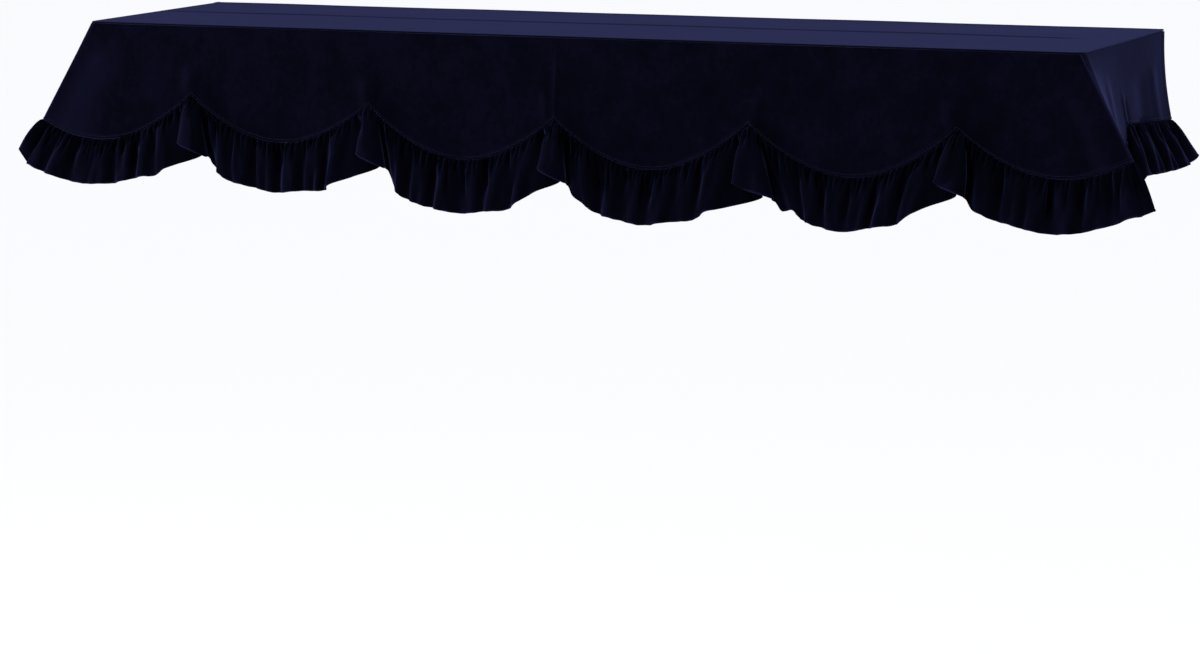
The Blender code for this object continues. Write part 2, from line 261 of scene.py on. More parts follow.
velvetLook = {
    "paintedShade": "#010103",     # painted shade, for the depths of folds, tucks and grooves
    "pileDeep": "#04040a",     # looking down into the pile
    "pileLit": "#070714",      # pile laid over, showing its sides
    "paintedHighlight": "#1d1d3c",     # painted highlight on turned edges, corners, creases and the hem
    "deepUpTo": 0.36,          # where the mottling begins to turn from deep to lit
    "litFrom": 0.64,
    "fineShare": 0.35,         # of clumps in the mottling; the rest is brushing
    "sheen": "#979fff",
    "sheenWeight": 0.26,
    "sheenRoughness": 0.34,
    "roughness": 0.85,
    "napSize": 1.4,            # mm; real pile tufts are 0.3 mm, drawn coarser so that they show
    "napDepth": 0.35,          # mm
    "clump": 6,                # tufts that lean together
    "brushSize": 45,           # mm, smudges where a hand has passed
    "brushDepth": 1.2,         # mm
    "strokes": (1, 1, 1),      # below 1 the smudges are drawn out along that axis
}


def cottonVelvet(name, look):
    # cotton velvet: a dense cut pile that drinks light face on and glows at grazing angles
    material = bpy.data.materials.new(name)
    material.use_nodes = True
    tree = material.node_tree
    tree.nodes.clear()
    place = addNode(tree, "ShaderNodeTexCoord").outputs["Object"]
    drawn = addNode(tree, "ShaderNodeMapping", {"Scale": look["strokes"]},
                    {"Vector": place}).outputs["Vector"]
    brushed = addNode(tree, "ShaderNodeTexNoise",
                      {"Scale": 1000 / look["brushSize"], "Detail": 5.0, "Roughness": 0.6,
                       "Distortion": 0.4}, {"Vector": drawn})
    clumps = addNode(tree, "ShaderNodeTexNoise",
                     {"Scale": 1000 / (look["napSize"] * look["clump"]), "Detail": 3.0,
                      "Roughness": 0.65}, {"Vector": drawn})
    both = addNode(tree, "ShaderNodeMix", {"data_type": "FLOAT", 0: look["fineShare"]},
                   {2: brushed.outputs["Fac"], 3: clumps.outputs["Fac"]})
    shade = addNode(tree, "ShaderNodeValToRGB", {}, {"Fac": both.outputs[0]})
    deep, lit = shade.color_ramp.elements
    deep.position = look["deepUpTo"]
    deep.color = srgb(look["pileDeep"])
    lit.position = look["litFrom"]
    lit.color = srgb(look["pileLit"])
    nap = addNode(tree, "ShaderNodeTexNoise",
                  {"Scale": 1000 / look["napSize"], "Detail": 2.0, "Roughness": 0.7},
                  {"Vector": place})
    napBump = addNode(tree, "ShaderNodeBump",
                      {"Strength": 0.35, "Distance": look["napDepth"] * mm},
                      {"Height": nap.outputs["Fac"]})
    brushBump = addNode(tree, "ShaderNodeBump", {"Strength": 0.5, "Distance": look["brushDepth"] * mm},
                        {"Height": brushed.outputs["Fac"], "Normal": napBump.outputs["Normal"]})
    # the light attribute is painted light: below 1 it mixes in painted shade, past 1 a painted
    # highlight
    light = addNode(tree, "ShaderNodeAttribute", {"attribute_name": "painted_light"})
    pile = addNode(tree, "ShaderNodeMix", {"data_type": "RGBA", 6: srgb(look["paintedShade"])},
                   {0: light.outputs["Fac"], 7: shade.outputs["Color"]})
    over = addNode(tree, "ShaderNodeMath", {"operation": "SUBTRACT", "use_clamp": True, 1: 1.0},
                   {0: light.outputs["Fac"]})
    highlighted = addNode(tree, "ShaderNodeMix", {"data_type": "RGBA", 7: srgb(look["paintedHighlight"])},
                    {0: over.outputs[0], 6: pile.outputs[2]})
    shader = addNode(tree, "ShaderNodeBsdfPrincipled",
                     {"Roughness": look["roughness"], "IOR": 1.45, "Specular IOR Level": 0.0,
                      "Sheen Weight": look["sheenWeight"],
                      "Sheen Roughness": look["sheenRoughness"],
                      "Sheen Tint": srgb(look["sheen"])},
                     {"Base Color": highlighted.outputs[2], "Normal": brushBump.outputs["Normal"]})
    addNode(tree, "ShaderNodeOutputMaterial", {}, {"Surface": shader.outputs["BSDF"]})
    return material


threadLook = {
    "shade": "#0c0c1e",        # between the plies
    "lit": "#1e1e3c",
    "twist": 0.4,              # mm from ply to ply
    "roughness": 0.6,
}


def polyesterThread(name, look):
    # spun polyester sewing thread, a shade lighter than the pile because it lies flat
    material = bpy.data.materials.new(name)
    material.use_nodes = True
    tree = material.node_tree
    tree.nodes.clear()
    place = addNode(tree, "ShaderNodeTexCoord").outputs["Object"]
    twist = addNode(tree, "ShaderNodeTexNoise", {"Scale": 1000 / look["twist"], "Detail": 2.0},
                    {"Vector": place})
    plies = addNode(tree, "ShaderNodeValToRGB", {}, {"Fac": twist.outputs["Fac"]})
    shade, lit = plies.color_ramp.elements
    shade.color = srgb(look["shade"])
    lit.color = srgb(look["lit"])
    shader = addNode(tree, "ShaderNodeBsdfPrincipled",
                     {"Roughness": look["roughness"], "IOR": 1.5, "Specular IOR Level": 0.15},
                     {"Base Color": plies.outputs["Color"]})
    addNode(tree, "ShaderNodeOutputMaterial", {}, {"Surface": shader.outputs["BSDF"]})
    return material


# the top is brushed in long strokes from end to end, and the frill down its length
topPile = velvetLook | {"brushSize": 12, "brushDepth": 0.7, "strokes": (0.06, 1, 1)}
frillPile = velvetLook | {"sheenWeight": 0.13, "sheenRoughness": 0.38, "strokes": (1, 1, 0.6)}
panelVelvet = cottonVelvet("cotton_velvet_panel", velvetLook)
topVelvet = cottonVelvet("cotton_velvet_top", topPile)
frillVelvet = cottonVelvet("cotton_velvet_frill", frillPile)
thread = polyesterThread("polyester_thread", threadLook)
print("materials made")


leastReach = 0.7    # a mitre makes the cloth no more than 1 / 0.7 as deep


def sheet(name, grid, thickness, material, mitres=None, light=1.0):
    # a closed sheet of cloth under an outer grid in mm; mitres gives the columns at corner
    # seams their direction, and light, the painted shade and highlights, goes to the material as an
    # attribute
    rows, columns = grid.shape[:2]
    normal = normalsOf(grid)
    depth = np.broadcast_to(np.asarray(thickness, float), (rows, columns)).copy()
    for column, direction in (mitres or {}).items():
        reach = np.clip((normal[:, column] * direction).sum(-1), leastReach, 1)
        normal[:, column] = direction
        depth[:, column] /= reach
    inner = grid - normal * depth[..., None]
    points = np.concatenate([grid.reshape(-1, 3), inner.reshape(-1, 3)]) * mm
    index = np.arange(rows * columns).reshape(rows, columns)
    quads = np.stack([index[:-1, :-1], index[1:, :-1], index[1:, 1:], index[:-1, 1:]], -1)
    quads = quads.reshape(-1, 4)
    rim = np.concatenate([index[0], index[1:, -1], index[-1, -2::-1], index[-2:0:-1, 0]])
    after = np.roll(rim, -1)
    count = rows * columns
    sides = np.stack([rim, after, after + count, rim + count], -1)
    faces = np.concatenate([quads, quads[:, ::-1] + count, sides])
    mesh = bpy.data.meshes.new(name)
    mesh.vertices.add(len(points))
    mesh.vertices.foreach_set("co", points.astype(np.float32).ravel())
    mesh.loops.add(faces.size)
    mesh.loops.foreach_set("vertex_index", faces.astype(np.int32).ravel())
    mesh.polygons.add(len(faces))
    mesh.polygons.foreach_set("loop_start", np.arange(0, faces.size, 4, dtype=np.int32))
    mesh.update(calc_edges=True)
    mesh.validate()
    mesh.shade_smooth()
    lit = np.broadcast_to(light, (rows, columns)).astype(np.float32).ravel()
    pile = mesh.attributes.new("painted_light", "FLOAT", "POINT")
    pile.data.foreach_set("value", np.concatenate([lit, lit]))
    mesh.materials.append(material)
    piece = bpy.data.objects.new(name, mesh)
    bpy.context.scene.collection.objects.link(piece)
    print("%s: %d faces" % (name, len(faces)))
    return piece


def unit(v):
    v = np.asarray(v, float)
    return v / np.linalg.norm(v)


def cornerMitre(side):
    # halves the angle between the front and a side panel at their seam
    drop = cornerDrop(side)
    seam = frontPoint(side * drape["cornerFlare"] * drop, drop) - frontPoint(0, 0)
    front = unit(np.cross(seam, [1, 0, 0]))
    beside = sidePoint(side, cornerEase, drop) - sidePoint(side, 0, drop)
    flank = unit(np.cross(seam, beside) * side)
    return unit(front + flank)


seamLook = {
    "band": 3.8,           # mm from the seam to the topstitching
    "puff": 0.5,           # how far the turned edge stands up between the two
    "puffWidth": 0.36,     # as a share of the band
    "groove": 0.35,        # how far the stitching pulls in
    "grooveWidth": 0.9,
    "roll": 1.3,           # the edge turns under within this distance
    "under": 0.9,          # and by this much
    "threadOut": 0.12,     # the thread lies proud of its groove
}

# painted light along a turned edge: a painted highlight on the edge and beside the stitching, painted
# shade in the stitching
paintedSeamLights = [
    # from the seam, half width, change
    (1.4, 0.8, 0.12),
    (seamLook["band"], 0.7, -0.5),
    (seamLook["band"] + 1.6, 0.9, 0.14),
]


def turnedEdge(distance):
    # relief of a turned and topstitched edge, by distance from the seam
    look = seamLook
    puff = look["puff"] * hump(distance, look["band"] / 2, look["band"] * look["puffWidth"])
    groove = look["groove"] * hump(distance, look["band"], look["grooveWidth"])
    under = look["under"] * np.clip(1 - distance / look["roll"], 0, 1) ** 2
    return puff - groove - under


def paintedSeamLight(distance):
    return 1 + sum(change * hump(distance, at, width) for at, width, change in paintedSeamLights)


creaseLook = {
    "strength": 1.5,       # on every height
    "rise": 0.35,          # share of its length in which a crease begins
    "fall": 12,            # mm in which it ends
}


def creased(along, drop, rows):
    # soft ridges and troughs, placed as listed
    look = creaseLook
    relief = 0
    for place, high, low, width, height, lean in rows:
        here = hump(along - lean * (drop - low), place, width)
        begun = ease((drop - high) / (look["rise"] * (low - high)))
        ended = ease((drop - low) / look["fall"])
        relief = relief + look["strength"] * height * here * begun * (1 - ended)
    return relief


topLook = {
    "cloth": 1.62,         # mm
    "face": 2.0,           # its upper side lies this high
    "leastFace": 0.9,      # and nowhere lower than this
    "ridgeY": 20,          # over the joint of the folding lid
    "ridgeHalf": 12,
    "ridgeHeight": 1.3,
    "ridgeStop": 45,       # gone this far from the right-hand end
    "ridgeFade": 60,
    "leafUp": 0.5,         # the leaf behind the ridge lies a little higher
    "slack": 0.35,         # waves in the cloth between the edges
    "calm": 14,            # none of them this near an edge
    "roundEdge": 2.2,
    "roundDown": 1.1,
    "beside": 0.35,        # the seam allowance lifts the cloth beside the edge
    "hem": 14,             # along the back
    "hemUp": 0.6,
    "hemGroove": 0.3,
    "columns": 170,
}


def topPanel():
    look = topLook
    halfWidth, halfDepth = topWidth / 2, topDepth / 2
    # rows and columns crowd towards the edges, the hem and the ridge
    near = np.array([0, 0.4, 0.9, 1.5, 2.3, 3.5, 5, 6.3, 8, 11])
    hem = np.array([0, 0.4, 0.9, 2, 4, 8, 12, 13, 14, 15, 17, 22])
    x = np.concatenate([-halfWidth + near,
                        np.linspace(-halfWidth + 18, halfWidth - 18, look["columns"]),
                        (halfWidth - near)[::-1]])
    y = np.concatenate([halfDepth - hem, np.linspace(halfDepth - 30, 34, 18),
                        np.linspace(31, 9, 23), np.linspace(4, -halfDepth + 18, 26),
                        (-halfDepth + near)[::-1]])
    px, py = np.meshgrid(x, y)
    edge = np.minimum(halfWidth - np.abs(px), halfDepth + py)
    behind = halfDepth - py
    fadeFrom = halfWidth - look["ridgeStop"] - look["ridgeFade"]
    ridged = 1 - ease((px - fadeFrom) / look["ridgeFade"])
    wander = 1.2 * np.sin(px / 190) + 0.7 * np.sin(px / 71 + 1)
    across = np.clip((py - look["ridgeY"] - wander) / look["ridgeHalf"], -1, 1)
    lift = look["ridgeHeight"] * np.cos(np.pi / 2 * across) ** 2 * ridged
    lift += look["leafUp"] * ridged * ease((py - look["ridgeY"]) / 10) * (1 - ease((py - 60) / 90))
    lift += look["slack"] * np.sin(px / 63 + 0.6 * np.sin(py / 40)) * np.sin(py / 58 + px / 310)
    lift = np.maximum(lift, -0.1) * ease(edge / look["calm"])
    lift -= look["roundDown"] * np.clip(1 - edge / look["roundEdge"], 0, 1) ** 2
    lift += look["beside"] * hump(edge, 3.4, 2.0)
    lift += look["hemUp"] * ease((look["hem"] - behind) / 2)
    lift -= look["hemGroove"] * hump(behind, look["hem"] - 2, 0.8)
    face = np.maximum(look["face"] + lift, look["leastFace"])
    grid = roundCorners(np.stack([px, py, face], -1))
    return sheet("top_cloth", grid, look["cloth"], topVelvet)


panelLook = {
    "cloth": 1.5,          # mm
    "below": 0.2,          # the panels begin this far below the lid's plane
    "foldOut": 1.6,        # the fold over the lid's edge is round within this drop
    "foldIn": 0.9,
    "cornerUp": 0.5,       # the seam allowance lifts the cloth beside a corner seam
    "cornerDown": 0.3,
    "calm": 40,            # the slack dies away this near a corner
    "slack": 0.5,
}

# a panel's rows: the seam allowance turned in below the top panel, the fold, and the seam
turnedIn = np.array([7, 5, 3, 1.6, 0.6])
foldRows = [0, 0.3, 0.8, 1.5, 2.5, 4, 6.5, 10]
seamRows = [0, 0.35, 0.8, 1.4, 2.2, 2.9, 3.4, 3.8, 4.2, 4.7, 5.5, 6.6, 8, 10, 13, 17, 23]


def panelDrops(seam, up, between):
    # the drop of every point, in rows that are close together at the fold and the seam
    top = np.concatenate([0 * turnedIn, foldRows])
    high = panelLook["below"] + top[:, None] + 0 * seam[None]
    low = seam[None] - up[::-1, None]
    middle = np.linspace(0, 1, between + 2)[1:-1, None]
    return np.vstack([high, high[-1] + (low[0] - high[-1]) * middle, low])


def panelRelief(distance, drop, corner, creases, slack):
    # how far the cloth stands out: its seam, creases and slack, its fold and its corner seam
    look = panelLook
    out = turnedEdge(distance) + creases
    out += look["slack"] * slack * ease(corner / look["calm"])
    out -= look["foldIn"] * np.clip(1 - drop / look["foldOut"], 0, 1) ** 2
    out += look["cornerUp"] * hump(corner, 2.6, 1.8) - look["cornerDown"] * hump(corner, 6, 1.2)
    rows = len(turnedIn)
    out[:rows] -= turnedIn[:, None] * ease(corner[:rows] / 12)
    return out


def aboveSeam(seam, drop, along):
    # distance from the seam, square to it
    return (seam - drop) / np.sqrt(1 + np.gradient(seam, along) ** 2)


def stitchPath(grid, up):
    # the row in the groove, less its ends at the corner seams
    row = len(grid) - 1 - int(np.argmin(np.abs(up - seamLook["band"])))
    return (grid + normalsOf(grid) * seamLook["threadOut"])[row, 3:-3]


frontCreases = [
    # place, from drop, to drop, width, height, lean
    (1, 6, 108, 3, 1.3, 0.0),
    (-8, 30, 104, 5, -1.1, 0.05),
    (-594, 55, 98, 9, 1.6, 0.10),
    (-580, 60, 104, 7, -1.2, -0.25),
    (-300, 62, 102, 9, 1.7, 0.12),
    (-284, 66, 110, 7, -1.3, -0.25),
    (-12, 70, 112, 9, 1.6, 0.15),
    (300, 66, 107, 9, 1.7, -0.10),
    (312, 70, 114, 8, -1.4, -0.25),
    (584, 58, 101, 10, 1.6, 0.10),
    (604, 62, 108, 7, -1.3, -0.25),
    (-800, 10, 170, 26, 2.6, -0.5),
    (-700, 40, 165, 22, -1.2, -0.20),
    (-440, 60, 160, 40, -1.4, 0.0),
    (-150, 60, 170, 42, -1.5, 0.0),
    (150, 60, 172, 40, -1.6, 0.0),
    (445, 55, 168, 38, -1.6, 0.05),
    (735, 60, 158, 30, -1.2, 0.20),
    (800, 30, 150, 14, 1.4, 0.50),
]

frontLook = {
    "columns": 96,         # in each scallop
    "crowd": 0.055,        # how much they crowd towards the notches, where the seam turns
    "rows": 16,            # between the fold and the seam
    "paintedCornerLight": 0.4,    # painted highlight along the corner seam
    "creaseLight": 0.035,  # painted light on raised creases and painted shade in troughs, for each mm
    "square": 0.87,        # makes a sideways distance one that is square to the flared corner
    "shade": 0.5,          # painted shade to the right of a notch
    "shadeRight": 38,
    "shadeWidth": 34,
}


def frontPanel():
    look = frontLook
    half = topWidth / 2
    flare = drape["cornerFlare"]
    step = np.linspace(0, 1, look["columns"] + 1)[:-1]
    spread = step - look["crowd"] * np.sin(2 * np.pi * step)
    runs = [x0 + (x1 - x0) * spread for (x0, *_), (x1, *_) in zip(notches, notches[1:])]
    bottom = np.concatenate(runs + [[notches[-1][0]]])
    seam = frontSeam(bottom)
    up = np.array(seamRows + [30])
    drop = panelDrops(seam, up, look["rows"])
    share = (drop - panelLook["below"]) / (seam - panelLook["below"])
    widest = half + flare * np.where(bottom < 0, cornerDrop(-1), cornerDrop(1))
    x = bottom / widest * (half + (widest - half) * share)
    for column, side in ((0, -1), (-1, 1)):
        x[:, column] = side * (half + flare * drop[:, column] - drape["cornerGap"])
    distance = aboveSeam(seam, drop, bottom)
    corner = (half + flare * drop - np.abs(x)) * look["square"]
    creases = creased(x, drop, frontCreases) * ease(corner / 25)
    slack = np.sin(x / 83 + drop / 60) * np.sin(drop / 47 + 1)
    grid = roundCorners(frontPoint(x, drop, panelRelief(distance, drop, corner, creases, slack)))
    # painted light: a highlight on the seam's edge and corner, light and shade on creases, shade right
    # of each notch
    light = paintedSeamLight(distance) + look["paintedCornerLight"] * hump(corner, 1.5, 2.5)
    light += np.clip(look["creaseLight"] * creases, -0.2, 0.1)
    for notch, *_ in notches[1:-1]:
        right = hump(x, notch + look["shadeRight"], look["shadeWidth"])
        light -= look["shade"] * right * hump(distance, 8, 20)
    mitres = {0: cornerMitre(-1), -1: cornerMitre(1)}
    cloth = sheet("front_cloth", grid, panelLook["cloth"], panelVelvet, mitres, light)
    return cloth, stitchPath(grid, up)


sideCreases = [
    # place, from drop, to drop, width, height, lean
    (156, 62, 106, 7, 1.0, 0.02),
    (168, 70, 108, 8, -1.0, 0.05),
    (70, 30, 140, 16, 1.8, -0.10),
    (250, 40, 112, 30, -1.6, 0.0),
    (320, 30, 118, 16, 1.2, 0.10),
]

sideLook = {
    "columns": 70,         # in each run of the seam
    "rows": 14,
    "hem": 11,             # along the back edge
    "hemUp": 0.4,
    "lowShade": 0.3,       # painted shade, darker towards the seam
}


def sidePanel(side):
    look = sideLook
    runs = [np.linspace(s0, s1, look["columns"] + 1)[:-1]
            for (s0, *_), (s1, *_) in zip(sideNotches, sideNotches[1:])]
    backEdge = topDepth - np.array([3, 1.2, 0])
    behind = np.sort(np.concatenate(runs + [backEdge, [0.7, 1.4, 3.2, 4.2]]))
    seam = sideSeam(side, behind)
    up = np.array(seamRows)
    drop = panelDrops(seam, up, look["rows"])
    distance = aboveSeam(seam, drop, behind)
    back = np.broadcast_to(behind, drop.shape)
    creases = creased(back, drop, sideCreases) * ease(back / 25)
    out = panelRelief(distance, drop, back, creases, np.sin(back / 41 + drop / 35))
    out += look["hemUp"] * ease((back - topDepth + look["hem"]) / 2)
    grid = roundCorners(sidePoint(side, back, drop, out))
    grid[:, 0, 1] += drape["cornerGap"]
    # painted light along the seam, with painted shade growing towards it
    light = paintedSeamLight(distance) * (1 - look["lowShade"] * ease((70 - distance) / 60))
    mitre = {0: cornerMitre(side)}
    if side < 0:
        # the columns run the other way round, so that the faces point outwards
        grid, light = grid[:, ::-1], light[:, ::-1]
        mitre = {-1: cornerMitre(side)}
    name = "side_cloth_right" if side > 0 else "side_cloth_left"
    cloth = sheet(name, grid, panelLook["cloth"], panelVelvet, mitre, light)
    return cloth, stitchPath(grid, up)


frillLook = {
    "cloth": 1.0,          # mm
    "hem": 4.0,            # of it rolled at the foot
    "hemThick": 1.9,
    "hemOut": 0.35,
    "hemGroove": 0.25,     # above the roll
    "hemLight": 0.45,
    "tuck": 4.5,           # the gathered head goes up behind the panel this far
    "headOut": 2.4,        # it puffs out from under the panel's edge
    "headIn": 2.4,         # and lies this far behind it
    "sideHead": 0.5,       # share of both on the side frills
    "frontLength": 75,
    "frontPuff": 0.2,      # share of a fold's depth that it has just below the seam
    "sidePuff": 0.06,
    "waves": 4,            # uneven slack, from a few waves of any length and slant
    "wave": (17, 34),
    "waveOut": 0.6,
    "rows": 34,
    "steps": 13,           # columns from one fold to the next
    "cornerSteps": 8,
    "paintedCornerLight": 1.12,   # painted highlight at the corner seam
    "cornerBulge": 4,
    "flapShade": 0.6,      # painted shade on the first flute after a notch, beside the flap
    "headLight": 0.3,      # painted shade just below the seam, gone again lower down
    "headShade": 10,
    "tuckShade": 5.0,       # painted shade: a tuck as deep as this is painted almost black
    "waveLight": 0.12,     # painted shade that follows the waves
    "seed": 11,
}

# how a fold opens from the seam, level 0, to the hem, level 1, and where it is given painted shade
foldLook = {
    "headRise": 0.05,      # a crest puffs out within this level
    "crestPower": 0.85,    # and below 1 it stands out early
    "valleyFrom": 0.35,    # a valley opens from this level
    "valleyOut": 0.45,     # to this share of the crest's depth
    "crestBroad": 2.4,     # above 1 the crests are broad and the valleys narrow
    "lightBroad": 1.6,
    "deepShade": 0.9,       # how deep the painted shade in the depth of a fold is
    "openFrom": 0.45,      # the painted shade lifts towards the open hem from this level
    "openOver": 0.5,
    "openLight": 0.75,
    "headTo": 0.18,        # a fold with painted shade is painted lighter down to this level
    "headMore": 0.3,
}


def hang(seamDrop, length, sideways, out):
    # the drop of a hem whose cloth keeps its length while it leans sideways and outwards
    return seamDrop + np.sqrt(np.maximum(length ** 2 - sideways ** 2 - out ** 2, 0))


def outAt(level, out, phase, puff):
    # how far a fold stands out: broad round crests, and narrow valleys that open at the hem
    look = foldLook
    level = np.clip(level, 0, 1)
    head = puff * (1 - np.exp(-level / look["headRise"]))
    crest = head + (1 - puff) * level ** look["crestPower"]
    opened = (level - look["valleyFrom"]) / (1 - look["valleyFrom"])
    valley = look["valleyOut"] * ease(opened)
    full = 1 - (1 - np.clip(phase, 0, 1)) ** look["crestBroad"]
    return out * (valley + full * (crest - valley))


def paintedFoldLight(level, phase, light):
    # painted shade deep in a fold, less of it towards the open hem
    look = foldLook
    level = np.clip(level, 0, 1)
    full = 1 - (1 - np.clip(phase, 0, 1)) ** look["lightBroad"]
    opened = look["openLight"] * ease((level - look["openFrom"]) / look["openOver"])
    deep = look["deepShade"] * (1 - full) * (1 - opened)
    head = look["headMore"] * (1 - light) * (1 - ease(level / look["headTo"]))
    return np.clip(1 - deep, 0, 1) * (light + head)


def flankLength(number, u):
    # how much longer the frill is cut where the seam runs steeply
    fall = frillFall
    steep = float(ease((abs(2 * u - 1) - fall["flankStart"]) / fall["flankWidth"]))
    if number == 0 and u < 0.5:
        return 0.0
    if number == len(scallops) - 1 and u > 0.5:
        return steep * fall["rightCorner"]
    return steep * (fall["leftFlank"] if u < 0.5 else fall["rightFlank"])


def foldRow(number, seam, hem, out, phase, light=1.0):
    # one fold under a scallop: seam x, hem x, out, hem drop, phase and painted light
    x0 = notches[number][0]
    x1 = notches[number + 1][0]
    cut = scallops[number][1] + flankLength(number, (seam - x0) / (x1 - x0))
    stand = outAt(1, out, phase, frillLook["frontPuff"])
    low = float(hang(frontSeam(seam), cut, hem - seam, stand))
    return (seam, hem, out, low, phase, light)


def frontFolds():
    # the flutes under each scallop, a valley and a crest in turn, and the flaps between them
    rows = []
    crest = 0
    last = len(scallops) - 1
    for number, (_, _, hems) in enumerate(scallops):
        x0 = notches[number][0]
        x1, drop1, flapLeft, flapRight, lower = notches[number + 1]
        start = x0 + (flapFolds[-1][0] if number else 0)
        end = x1 + (flapFolds[0][0] if number < last else 0)
        pitch = (end - start) / len(hems)
        for k, hem in enumerate(hems):
            seam = start + pitch * (k + 0.5)
            out = crestOut[crest % len(crestOut)]
            share = valleyShare[crest % len(valleyShare)]
            if k:
                rows.append(foldRow(number, seam - pitch / 2, (hem + hems[k - 1]) / 2, out, share))
            elif not number:
                rows.append(foldRow(number, seam - pitch / 2 + cornerEase, hem - pitch * 0.3,
                                    out, share))
            light = frillLook["flapShade"] if number and not k else 1.0
            rows.append(foldRow(number, seam, hem, out, 1.0, light))
            crest += 1
        if number < last:
            for seam, share, out, fall, light in flapFolds:
                hem = flapLeft + (flapRight - flapLeft) * share
                rows.append((x1 + seam, x1 + hem, out, drop1 + fall + lower, 1.0, light))
        else:
            rows.append(foldRow(number, end - cornerEase, hems[-1] + pitch * 0.55, 18, 0.2))
    return rows


gatherLook = {
    "pitch": (5.0, 10.5),  # mm from one tuck to the next
    "depth": (3.0, 7.0),
    "width": (1.3, 2.3),
    "length": (13, 40),
    "longOnes": 0.25,      # share of tucks that run further down
    "longer": 1.8,
    "slant": 0.14,
    "cornerReach": 75,     # the tucks change this near a corner
    "cornerLonger": 22,
    "cornerFlatter": 0.35,
    "fanDepth": 2.6,
    "mostDepth": 9.1,      # where tucks meet
}

# tucks that fan out from a corner seam: place from it, length
cornerFan = ((2.2, 66), (4.6, 56), (7.4, 64), (11, 58))


def gathers(along, down, seed, corners):
    # narrow dark tucks under the seam, each running part of the way down
    look = gatherLook
    draw = random.Random(seed)
    relief = np.zeros((len(down), len(along)))
    below = np.maximum(down, 0)[:, None]
    begun = ease(down[:, None] / 3 + 0.2)
    spot = along[0]
    while spot < along[-1]:
        spot += draw.uniform(*look["pitch"])
        depth = draw.uniform(*look["depth"])
        length = draw.uniform(*look["length"])
        if draw.random() < look["longOnes"]:
            length *= look["longer"]
        pull = max(math.exp(-((spot - along[c]) / look["cornerReach"]) ** 2) for c in corners)
        length += look["cornerLonger"] * pull
        depth *= 1 - look["cornerFlatter"] * pull
        width = draw.uniform(*look["width"]) * (1 + below / 40)
        centre = spot + draw.uniform(-look["slant"], look["slant"]) * below
        gone = ease((below - 0.2 * length) / (0.8 * length))
        relief -= depth * hump(along[None], centre, width) * begun * (1 - gone)
    for c in corners:
        inward = 1 if c == 0 else -1
        for offset, length in cornerFan:
            tuck = hump(along[None], along[c] + inward * offset, 0.8 + below / 90)
            gone = ease((below - 0.4 * length) / (0.6 * length))
            relief -= look["fanDepth"] * tuck * begun * (1 - gone)
    return np.maximum(relief, -look["mostDepth"])


def slackWaves(along, down, seed):
    # a few slanting waves together, from -4 to 4
    look = frillLook
    draw = random.Random(seed)
    waves = 0
    for _ in range(look["waves"]):
        wave = draw.uniform(*look["wave"])
        phase = draw.uniform(0, 6.28)
        slant = draw.uniform(-0.5, 0.5)
        waves = waves + np.sin((along[None] + slant * down[:, None]) * 2 * np.pi / wave + phase)
    return waves


def finishFrill(name, grid, along, down, light, mitres, seed):
    # gathers, slack and the rolled hem on a frill's folds, with painted shade in the tucks, under the
    # seam and along the waves, and a painted highlight on the hem
    look = frillLook
    relief = gathers(along, down, seed, list(mitres))
    waves = slackWaves(along, down, seed + 1)
    head = look["headLight"] + (1 - look["headLight"]) * ease(down[:, None] / look["headShade"])
    # painted shade in the tucks and just below the seam
    light = light * np.clip(1 + relief / look["tuckShade"], 0.06, 1) * head
    light = light * np.clip(0.92 + look["waveLight"] * waves, 0.4, 1.03)
    relief = relief + look["waveOut"] * waves * ease(down[:, None] / 60)
    for column in mitres:
        # no relief at a corner seam, where two frills meet
        relief = relief * ease(np.abs(along - along[column]) / 3)[None]
    grid = grid + normalsOf(grid) * relief[..., None]
    toHem = (down[-1] - down)[:, None]
    rolled = ease((look["hem"] - toHem) / 1.2) * np.ones_like(relief)
    thick = look["cloth"] + (look["hemThick"] - look["cloth"]) * rolled
    swell = look["hemOut"] * rolled - look["hemGroove"] * hump(toHem, look["hem"] + 0.8, 0.8)
    grid = grid + normalsOf(grid) * swell[..., None]
    # painted highlight along the rolled hem
    light = light + look["hemLight"] * ease((2.2 - toHem) / 1.2)
    return sheet(name, grid, thick, frillVelvet, mitres, light)


def frillLevels(length):
    # rows down a frill, close together at its head and its hem
    head = [-frillLook["tuck"], -2.5, -1.2, 0, 0.8, 1.6, 2.6, 4]
    hem = length - np.array([5.2, 4.8, 4.2, 3.4, 2.6, 1.6, 0.7, 0])
    between = frillLook["rows"] - len(head) - len(hem)
    return np.concatenate([head, np.linspace(6, length - 6, between), hem])


def headOut(down):
    # behind the panel above the seam, puffed out just below it
    look = frillLook
    puff = look["headOut"] * (1 - np.exp(-np.maximum(down, 0) / 3))
    return puff - look["headIn"] * (1 - ease((down + 0.5) / 2.2))


def cornerColumn(side, level, down):
    # the gathered strip turning a front corner, bulging out along the corner's own slant
    head = sidePoint(side, 0, cornerDrop(side))
    x, y, foot = cornerHems[side]
    foot = np.array([side * x, y, -foot], float)
    column = head + (foot - head) * level
    bulge = frillLook["cornerBulge"] * np.sin(np.pi * np.clip(level[:, 0], 0, 1) ** 0.8)
    column[:, 0] += side * (bulge * 0.8 + headOut(down) * 0.7)
    column[:, 1] -= bulge * 0.6 + headOut(down) * 0.7
    return column


def joinCorner(grid, along, light, column, corner, atStart):
    # the corner's own column, and a few between it and the nearest fold, with a painted highlight at
    # the corner
    look = frillLook
    share = np.arange(look["cornerSteps"]) / look["cornerSteps"]
    near = 0 if atStart else -1
    extra = column[:, None] + (grid[:, near] - column)[:, None] * share[None, :, None]
    spots = corner + (along[near] - corner) * share
    shade = look["paintedCornerLight"] + (light[:, near] - look["paintedCornerLight"])[:, None] * share[None]
    if atStart:
        return (np.concatenate([extra, grid], 1), np.concatenate([spots, along]),
                np.concatenate([shade, light], 1))
    return (np.concatenate([grid, extra[:, ::-1]], 1), np.concatenate([along, spots[::-1]]),
            np.concatenate([light, shade], 1))


